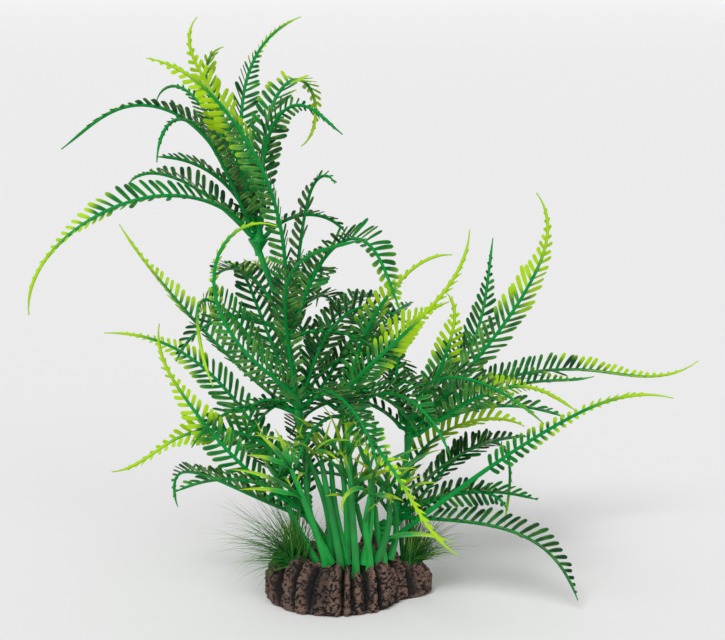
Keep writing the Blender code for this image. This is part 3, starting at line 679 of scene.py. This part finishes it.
def hair_tuft(name, foot, most_lime, rows, material, sizes, rng):
    """A tuft of hair grass: fine blades of a four-sided section. Each follows one of the tuft's
    broad directions with seeded changes of heading, rise, length and droop."""
    skin = Skin()
    t = np.linspace(0, 1, 11)
    for row in rows:
        for _ in range(sizes.hairs):
            spread = rng.normal(0.0, 1.0, 4)
            heading = row[0] + HEADING_SPREAD * spread[0]
            rise = min(STEEPEST, row[1] + RISE_SPREAD * spread[1])
            length = row[2] * rng.uniform(*HAIR_LENGTH)
            droop = row[3] * (1.0 + 0.4 * spread[2])
            out = np.radians(rng.uniform(0, 360))
            ring = TUFT_RADIUS * math.sqrt(rng.uniform(0, 1))
            root = np.array(foot) + (ring * math.cos(out), ring * math.sin(out), -TUFT_DEPTH)
            place, _, across, upward = Midrib(root, heading, rise, length, droop).at(t)
            width = sizes.hair_width / 2 * np.clip((1 - t) / 0.7, 0.08, 1.0)
            sleeve = sweep(place, across, upward, ring_section(4), width, width * 0.5)
            lime = most_lime * rng.uniform(0.1, 1.0) * smooth((t - 0.25) / 0.6)
            skin.add(sleeve[None], lime=lime[None, :, None], shade=rng.uniform(0, 1))
    return skin.piece(name + "_blades", material, "hair_grass", name)


def lumps(points, size, seed):
    """Smooth value noise from 0 to 1: seeded numbers at the corners of a lattice of cubes of that
    size, blended between the corners with 3v^2 - 2v^3."""
    cell = np.floor(points / size).astype(np.int64)
    part = smooth(points / size - cell)
    total = np.zeros(points.shape[:-1])
    for corner in np.ndindex(2, 2, 2):
        x, y, z = np.moveaxis(cell + corner, -1, 0)
        mixed = (x * 73856093) ^ (y * 19349663) ^ (z * 83492791) ^ (seed * 97531)
        mixed = ((mixed ^ (mixed >> 13)) * 1274126177) & 0x7FFFFFFF
        value = ((mixed ^ (mixed >> 15)) & 0xFFFF) / 65535.0
        weight = np.prod(np.where(corner, part, 1 - part), axis=-1)
        total += value * weight
    return total


def base_outline(angle):
    """How far the base reaches at each angle: the outer root of the quadratic where a ray meets
    each oval lobe, and the larger of the two."""
    reaches = []
    for x, y, half_x, half_y in BASE_LOBES:
        ray = np.stack([np.cos(angle) / half_x, np.sin(angle) / half_y])
        to = np.array([x / half_x, y / half_y])[:, None]
        square = np.sum(ray**2, axis=0)
        middle = np.sum(ray * to, axis=0)
        inside = np.maximum(middle**2 - square * (np.sum(to**2) - 1.0), 0.0)
        reaches.append((middle + np.sqrt(inside)) / square)
    return np.maximum(*reaches)


# The base's side, shoulder and top: (share of the outline, share of the height, column depth).
BASE_PROFILE = np.array([
    (0.02, 0.0, 0.0), (0.94, 0.0, 0.0), (0.975, 0.03, 0.35), (1.0, 0.12, 0.45),
    (1.0, 0.35, 0.7), (0.985, 0.6, 1.0), (0.96, 0.8, 1.0), (0.92, 0.93, 1.0),
    (0.86, 0.99, 0.9), (0.78, 1.0, 0.7), (0.62, 0.95, 0.35), (0.4, 0.93, 0.1),
    (0.01, 0.92, 0.0),
])
BASE_RINGS = 176
BASE_SIDES = 520
BASE_SEED = 7
# Sizes of the noise that makes the base uneven, and of the two that pit it.
ROUGH_CELL = 0.0045
PIT_CELL = 0.0013
FINE_PIT_CELL = 0.0008


def rock_base(material, sizes):
    """The rock base: rings round the lobed outline that follow the profile up the side and over
    the top. Valleys as deep as 1 - sin(pi * v)^0.8, where v crosses each column from 0 to 1, part
    upright columns of uneven width and height. A crest, exp(-d^2) about four fifths of the
    outline, rounds their tops, and three sizes of value noise roughen and pit the surface."""
    angle = np.arange(BASE_SIDES) * 2 * np.pi / BASE_SIDES
    rows = np.linspace(0, 1, BASE_RINGS)
    run = np.hypot(*np.diff(BASE_PROFILE[:, :2] * (0.030, BASE_HEIGHT), axis=0).T)
    # The underside and the middle of the top are plain, so they get few rings.
    run[0] = run[-1] = run[-2] = 0.004
    run = np.concatenate([[0.0], np.cumsum(run)]) / np.sum(run)
    share, height, depth = (np.interp(rows, run, column)[:, None] for column in BASE_PROFILE.T)
    columns = sizes.columns
    phase = angle * columns / (2 * np.pi)
    phase = phase + 0.30 * np.sin(angle * 5 + 1.0) + 0.22 * np.sin(angle * 9 + 2.3)
    column = np.floor(phase).astype(int) % columns
    valley = 1 - np.sin(np.pi * (phase - np.floor(phase))) ** 0.80
    rng = np.random.default_rng(BASE_SEED)
    drop = rng.uniform(0.0, 0.34, columns)[column] * smooth(1.6 - 1.6 * valley)
    deep = 0.0062 * (0.7 + 0.3 * rng.uniform(0, 1, columns))[column]
    reach = base_outline(angle) * share - deep * depth * valley + 0.0016 * depth
    x, y = reach * np.cos(angle), reach * np.sin(angle)
    top = BASE_HEIGHT - STEP_DROP * smooth((x - STEP_FROM) / STEP_WIDTH)
    rim = smooth((share - 0.45) / 0.3)
    crest = 0.15 * smooth((1 - valley) / 0.65) * np.exp(-(((share - 0.80) / 0.11) ** 2))
    z = height * top * (1 - rim * (drop + 0.35 * valley * depth) + crest)
    points = np.stack([x, y, z], axis=-1)
    rough = lumps(points, ROUGH_CELL, 3) - 0.5
    pits = lumps(points, PIT_CELL, 5) * 0.6 + lumps(points, FINE_PIT_CELL, 9) * 0.4
    rise = 0.0022 * rough + 0.0011 * (smooth((pits - 0.28) / 0.32) - 0.6)
    steep = smooth((share - 0.55) / 0.4)
    out = np.stack([np.cos(angle) * steep, np.sin(angle) * steep, 1 - steep + 0 * angle], -1)
    points = points + out * (rise * smooth(height / 0.05))[..., None]
    points[..., 2] = np.maximum(points[..., 2], 0.0)
    skin = Skin()
    # The edge mark holds how deep each point lies in a valley between columns, and the rock finish
    # darkens it.
    skin.add(
        points[None],
        shade=smooth((pits - 0.30) / 0.30)[None],
        edge=(valley * np.clip(depth * 1.2, 0, 1))[None],
    )
    return skin.piece("rock_base_moulding", material, "rock", "rock_base", crease=80.0)


class Value:
    """A number that varies over a surface. Arithmetic on it adds Math nodes to its material."""

    def __init__(self, paint, socket):
        self.paint = paint
        self.socket = socket

    def __add__(self, other):
        return self.paint.math("ADD", self, other)

    def __sub__(self, other):
        return self.paint.math("SUBTRACT", self, other)

    def __rsub__(self, other):
        return self.paint.math("SUBTRACT", other, self)

    def __mul__(self, other):
        return self.paint.math("MULTIPLY", self, other)

    __radd__ = __add__
    __rmul__ = __mul__


class Paint:
    """A material made of one Principled shader, with its specular level, and the nodes that
    feed it."""

    def __init__(self, name, specular):
        self.material = bpy.data.materials.new(name)
        self.material.use_nodes = True
        self.tree = self.material.node_tree
        self.shader = self.tree.nodes["Principled BSDF"]
        self.fill(self.shader.inputs["Specular IOR Level"], specular)

    def node(self, kind, settings, sockets, output=0):
        """Adds a node, makes its settings, fills its sockets and gives one of its outputs."""
        node = self.tree.nodes.new(kind)
        for key, value in settings.items():
            setattr(node, key, value)
        for key, value in sockets.items():
            self.fill(node.inputs[key], value)
        return Value(self, node.outputs[output])

    def fill(self, socket, value):
        """Links a value to the socket, or sets the socket to a number, colour or vector."""
        if isinstance(value, Value):
            self.tree.links.new(value.socket, socket)
        else:
            socket.default_value = value

    def math(self, operation, first, second=0.0):
        return self.node("ShaderNodeMath", {"operation": operation}, {0: first, 1: second})

    def mark(self, name):
        """A mark of the piece's points."""
        return self.node("ShaderNodeAttribute", {"attribute_name": name}, {}, "Fac")

    def place(self):
        """The place on the object, in metres."""
        return self.node("ShaderNodeTexCoord", {}, {}, "Object")

    def noise(self, scale, detail=2.0, roughness=0.5):
        """Noise from 0 to 1, with that many cells to the metre."""
        sockets = {"Vector": self.place(), "Scale": scale, "Detail": detail}
        return self.node("ShaderNodeTexNoise", {}, {**sockets, "Roughness": roughness}, "Fac")

    def band(self, value, low, high, least=0.0, most=1.0):
        """Carries a value's range low..high smoothly over to least..most."""
        sockets = {0: value, 1: low, 2: high, 3: least, 4: most}
        return self.node("ShaderNodeMapRange", {"interpolation_type": "SMOOTHSTEP"}, sockets)

    def mix(self, share, first, second):
        """Blends two colours."""
        colours = [c if isinstance(c, Value) else (*c, 1.0) for c in (first, second)]
        settings = {"data_type": "RGBA"}
        return self.node("ShaderNodeMix", settings, {0: share, 6: colours[0], 7: colours[1]}, 2)

    def finish(self, colour, roughness, relief, distance):
        """Feeds the shader its colour and roughness, and a bump of that height in metres."""
        self.fill(self.shader.inputs["Base Color"], colour)
        self.fill(self.shader.inputs["Roughness"], roughness)
        bump = self.node("ShaderNodeBump", {}, {"Height": relief, "Distance": distance})
        self.fill(self.shader.inputs["Normal"], bump)
        return self.material


def frond_plastic(colours):
    """Soft green plastic, airbrushed with lime towards the outer ends, with a painted highlight on
    the thin edges.
    """
    paint = Paint("frond_plastic", 0.14)
    patch = paint.noise(70.0, 3.0)
    # The shade mark picks dark or fresh green: a tone that differs at random, and painted shade on
    # the fronds deep in the plant.
    green = paint.mix(paint.mark("shade") + (patch - 0.5) * 1.1, colours.dark, colours.fresh)
    green = paint.mix(paint.mark("rib") * 0.62, green, colours.stem)
    # Painted highlight: the thin edges are lightened towards the edge colour, as if they caught the
    # light.
    edge_highlight = paint.mark("edge") * paint.band(paint.noise(160.0), 0.35, 0.72, 0.05, 0.75)
    green = paint.mix(edge_highlight, green, colours.edge)
    spray = paint.band(paint.mark("lime") + (patch - 0.5) * 0.5, 0.12, 0.75)
    colour = paint.mix(spray, green, colours.lime)
    grain = paint.noise(900.0, 3.0)
    return paint.finish(colour, paint.band(grain, 0.3, 0.7, 0.36, 0.56), grain, 0.00012)


def stem_plastic(colours):
    """Bright green moulded plastic with a faint mottle."""
    paint = Paint("stem_plastic", 0.35)
    mottle = paint.noise(120.0, 3.0)
    colour = paint.mix(paint.band(mottle, 0.3, 0.7), colours.stem_dark, colours.stem)
    grain = paint.noise(1400.0, 2.0)
    return paint.finish(colour, paint.band(mottle, 0.2, 0.8, 0.30, 0.46), grain, 0.00008)


def strap_plastic(colours):
    """Bright green plastic straps, sprayed with lime yellow towards their tips, with a faint painted
    highlight on their thin edges.
    """
    paint = Paint("strap_plastic", 0.35)
    patch = paint.noise(110.0, 3.0)
    green = paint.mix(paint.mark("shade") + (patch - 0.5), colours.grass_dark, colours.grass)
    spray = paint.band(paint.mark("lime") + (patch - 0.5) * 0.7, 0.15, 0.85)
    colour = paint.mix(spray, green, colours.grass_tip)
    # Painted highlight: a little of the edge colour on the thin edges of straps and shoots.
    colour = paint.mix(paint.mark("edge") * 0.18, colour, colours.edge)
    grain = paint.noise(1200.0, 2.0)
    return paint.finish(colour, paint.band(patch, 0.2, 0.8, 0.30, 0.48), grain, 0.0001)


def hair_plastic(colours):
    """Fine dull green blades with pale yellowish tips."""
    paint = Paint("hair_plastic", 0.25)
    green = paint.mix(paint.mark("shade"), colours.hair_dark, colours.hair)
    colour = paint.mix(paint.mark("lime"), green, colours.hair_tip)
    grain = paint.noise(1500.0, 2.0)
    return paint.finish(colour, paint.band(grain, 0.3, 0.7, 0.42, 0.6), grain, 0.00005)


def rock_finish(colours):
    """Cast lava rock: dry-brushed brown on the high grains, near black in pits and valleys."""
    paint = Paint("rock_finish", 0.3)
    grain = paint.noise(1250.0, 3.0, 0.65)
    speck = paint.noise(3400.0, 2.0)
    high = paint.mark("shade") * 0.35 + grain * 1.1 + speck * 0.35
    # The brown share falls towards the bottom of the valleys between columns, which darkens them to
    # near black.
    brown_share = paint.band(high, 0.80, 1.06) * paint.band(paint.mark("edge"), 0.12, 0.55, 1.0, 0.02)
    tint = paint.mix(paint.band(paint.noise(90.0, 3.0), 0.35, 0.65), colours.rock, colours.rock_warm)
    tint = paint.mix(paint.band(speck, 0.42, 0.60, 0.0, 0.75), tint, colours.rock_dull)
    colour = paint.mix(brown_share, colours.rock_dark, tint)
    rough = paint.band(high, 0.6, 1.3, 0.62, 0.88)
    return paint.finish(colour, rough, grain + speck * 0.5, 0.0005)


def length(label, text, value, low, high):
    """A length property in metres."""
    return FloatProperty(
        name=label, description=text, default=value, min=low, max=high, subtype="DISTANCE",
        unit="LENGTH", precision=5,
    )


def colour(label, text, *value):
    """A colour property."""
    return FloatVectorProperty(
        name=label, description=text, default=value, size=3, min=0.0, max=1.0, subtype="COLOR"
    )


class FernSizes(bpy.types.PropertyGroup):
    """Sizes that can be changed without changing the frame."""

    leaflet_spacing: length("Leaflet spacing", "From one leaflet to the next", 0.0042, 0.001, 0.01)
    leaflet_width: length("Leaflet width", "Across a leaflet", 0.0024, 0.0005, 0.005)
    leaflet_thickness: length("Leaflet thickness", "Through a leaflet", 0.0006, 0.0002, 0.002)
    midrib_width: length("Midrib width", "Across a frond's midrib at its root", 0.0020, 0.0005, 0.004)
    stem_width: length("Stem width", "Across a bare stem", 0.0030, 0.001, 0.006)
    hair_width: length("Hair width", "Across a blade of hair grass", 0.0006, 0.0002, 0.002)
    hairs: IntProperty(name="Hairs", description="Fine blades in each direction", default=30, min=1)
    columns: IntProperty(name="Columns", description="Columns round the base", default=21, min=3)


class FernColours(bpy.types.PropertyGroup):
    """Colours of the plastics and of the rock."""

    # Dark green is the plastic's darker tone and also the painted shade of fronds deep in the plant.
    dark: colour("Dark green", "Older leaflets", 0.0, 0.036, 0.012)
    fresh: colour("Fresh green", "Younger leaflets", 0.0, 0.3, 0.036)
    lime: colour("Lime", "Airbrush at the outer ends", 0.35, 0.6, 0.008)
    # The edge colour is a painted highlight on thin edges.
    edge: colour("Edge", "Thin edges that catch the light", 0.3, 0.56, 0.12)
    stem: colour("Stem green", "Stems and midribs", 0.0, 0.34, 0.05)
    stem_dark: colour("Dark stem green", "Mottle of the stems", 0.0, 0.2, 0.035)
    grass: colour("Grass green", "Strap grass", 0.0, 0.34, 0.045)
    grass_dark: colour("Dark grass green", "Older straps", 0.0, 0.11, 0.024)
    grass_tip: colour("Grass tip", "Tips of the strap grass", 0.33, 0.55, 0.006)
    hair: colour("Hair green", "Fresh hair grass", 0.02, 0.23, 0.025)
    hair_dark: colour("Dark hair green", "Older hair grass", 0.004, 0.07, 0.015)
    hair_tip: colour("Hair tip", "Tips of the hair grass", 0.33, 0.52, 0.08)
    rock: colour("Rock brown", "Dry-brushed grains", 0.2, 0.12, 0.088)
    rock_warm: colour("Warm rock brown", "Redder patches of grain", 0.28, 0.158, 0.112)
    rock_dull: colour("Dull rock brown", "Duller grains", 0.055, 0.042, 0.037)
    rock_dark: colour("Rock dark", "Pits and valleys", 0.008, 0.007, 0.007)
    floor: colour("Floor", "Plain pale floor", 0.81, 0.81, 0.81)


def seeded(name):
    """A random generator of the piece's own, from the letters of its name."""
    return np.random.default_rng(sum((k + 1) * ord(letter) for k, letter in enumerate(name)))


def look(make):
    """The material that the function makes, under the function's own name, made once."""
    return bpy.data.materials.get(make.__name__) or make(bpy.context.scene.fern_colours)


class FERN_OT_rosette(bpy.types.Operator):
    """Builds every frond of one rosette"""

    bl_idname = "fern.rosette"
    bl_label = "Rosette of Fronds"
    rosette: EnumProperty(name="Rosette", items=[(key, key, "") for key in FRONDS])

    def execute(self, context):
        material = look(frond_plastic)
        sizes = context.scene.fern_sizes
        hub = HUBS[self.rosette]
        for number, row in enumerate(FRONDS[self.rosette], start=1):
            name = f"{self.rosette}_frond_{number}"
            frond(name, hub, row, material, sizes, seeded(name))
        rows = INNER_FRONDS.get(self.rosette)
        if rows:
            name = self.rosette + "_inner_fronds"
            inner_fronds(name, hub, rows, material, sizes, seeded(name))
        return {"FINISHED"}


class FERN_OT_stems(bpy.types.Operator):
    """Builds the three stems"""

    bl_idname = "fern.stems"
    bl_label = "Stems"

    def execute(self, context):
        for name in STEMS:
            stem(name, look(stem_plastic), context.scene.fern_sizes)
        return {"FINISHED"}


class FERN_OT_strap_grass(bpy.types.Operator):
    """Builds the bunches of strap grass"""

    bl_idname = "fern.strap_grass"
    bl_label = "Strap Grass"

    def execute(self, context):
        for number, (shaft, *rows) in enumerate(STRAP_GRASS, start=1):
            name = f"strap_grass_{number}"
            strap_bunch(name, shaft, rows, look(strap_plastic), seeded(name))
        return {"FINISHED"}


class FERN_OT_hair_grass(bpy.types.Operator):
    """Builds the tufts of hair grass"""

    bl_idname = "fern.hair_grass"
    bl_label = "Hair Grass"

    def execute(self, context):
        material = look(hair_plastic)
        sizes = context.scene.fern_sizes
        for name, (foot, lime, *rows) in TUFTS.items():
            hair_tuft(name, foot, lime, rows, material, sizes, seeded(name))
        return {"FINISHED"}


class FERN_OT_rock_base(bpy.types.Operator):
    """Builds the rock base"""

    bl_idname = "fern.rock_base"
    bl_label = "Rock Base"

    def execute(self, context):
        rock_base(look(rock_finish), context.scene.fern_sizes)
        return {"FINISHED"}


class FERN_OT_stage(bpy.types.Operator):
    """Sets up the pale floor, the soft light and the camera"""

    bl_idname = "fern.stage"
    bl_label = "Stage"

    def execute(self, context):
        add_floor(context.scene.fern_colours)
        add_lights(context.scene)
        add_camera(context.scene)
        return {"FINISHED"}


# The stage: the surround's strength, and each lamp's strength, width and turn in degrees.
SURROUND = 0.45
LAMPS = (("key", 2.0, 24.0, (38.0, -18.0, 0.0)), ("fill", 0.5, 40.0, (50.0, 35.0, 0.0)))
FLOOR_REACH = 14.0
FLOOR_TURN = 11.0
CAMERA_PLACE = (0.0065, -0.90, 0.33)
CAMERA_PITCH = 78.44
SENSOR_WIDTH = 36.0
LENS = 91.17


def add_floor(colours):
    """A plain floor that turns up far behind the plant: height is 0 up to the turn, then rises
    with the square of the distance."""
    across = np.linspace(-FLOOR_REACH, FLOOR_REACH, 57)
    back = np.linspace(-FLOOR_REACH, FLOOR_REACH + 1.0, 97)
    x, y = np.meshgrid(across, back)
    z = 0.4 * np.clip(y - FLOOR_TURN, 0.0, None) ** 2
    index = np.arange(x.size).reshape(x.shape)
    quads = np.stack([index[:-1, :-1], index[:-1, 1:], index[1:, 1:], index[1:, :-1]], axis=-1)
    mesh = bpy.data.meshes.new("floor")
    places = np.stack([x, y, z], axis=-1).reshape(-1, 3)
    mesh.from_pydata(places.tolist(), [], quads.reshape(-1, 4).tolist())
    mesh.shade_smooth()
    paint = Paint("floor_paper", 0.1)
    paint.fill(paint.shader.inputs["Roughness"], 0.9)
    paint.fill(paint.shader.inputs["Base Color"], (*colours.floor, 1.0))
    mesh.materials.append(paint.material)
    linked("floor", mesh)


def add_lights(scene):
    """An even pale surround, a broad soft key from the upper left front and a weaker fill."""
    world = bpy.data.worlds.new("studio")
    world.use_nodes = True
    surround = world.node_tree.nodes["Background"]
    surround.inputs["Color"].default_value = (1.0, 1.0, 1.0, 1.0)
    surround.inputs["Strength"].default_value = SURROUND
    scene.world = world
    for name, strength, spread, turn in LAMPS:
        lamp = bpy.data.lights.new(name, "SUN")
        lamp.energy = strength
        lamp.angle = math.radians(spread)
        linked(name, lamp).rotation_euler = [math.radians(angle) for angle in turn]


def add_camera(scene):
    """A long lens at the front, looking a little down on the plant."""
    data = bpy.data.cameras.new("camera")
    data.sensor_width = SENSOR_WIDTH
    data.lens = LENS
    camera = linked("camera", data)
    camera.location = CAMERA_PLACE
    camera.rotation_euler = (math.radians(CAMERA_PITCH), 0.0, 0.0)
    scene.camera = camera
    scene.view_settings.view_transform = "Standard"


OPERATORS = (
    FERN_OT_stems, FERN_OT_strap_grass, FERN_OT_hair_grass, FERN_OT_rock_base, FERN_OT_stage,
)


class FERN_PT_panel(bpy.types.Panel):
    """Lists the fern's pieces"""

    bl_label = "Artificial Fern"
    bl_space_type = "VIEW_3D"
    bl_region_type = "UI"
    bl_category = "Fern"

    def draw(self, context):
        for rosette in FRONDS:
            title = rosette.replace("_", " ").title() + " Rosette"
            self.layout.operator("fern.rosette", text=title).rosette = rosette
        for operator in OPERATORS:
            self.layout.operator(operator.bl_idname)
        for group in (context.scene.fern_sizes, context.scene.fern_colours):
            for key in group.bl_rna.properties.keys():
                if key not in ("name", "rna_type"):
                    self.layout.prop(group, key)


CLASSES = (FernSizes, FernColours, FERN_OT_rosette, *OPERATORS, FERN_PT_panel)


def register():
    for each in CLASSES:
        bpy.utils.register_class(each)
    bpy.types.Scene.fern_sizes = PointerProperty(type=FernSizes)
    bpy.types.Scene.fern_colours = PointerProperty(type=FernColours)


def unregister():
    del bpy.types.Scene.fern_colours
    del bpy.types.Scene.fern_sizes
    for each in reversed(CLASSES):
        bpy.utils.unregister_class(each)


def main():
    register()
    bpy.ops.fern.rock_base()
    bpy.ops.fern.stems()
    for rosette in FRONDS:
        bpy.ops.fern.rosette(rosette=rosette)
    bpy.ops.fern.strap_grass()
    bpy.ops.fern.hair_grass()
    bpy.ops.fern.stage()


if __name__ == "__main__":
    main()
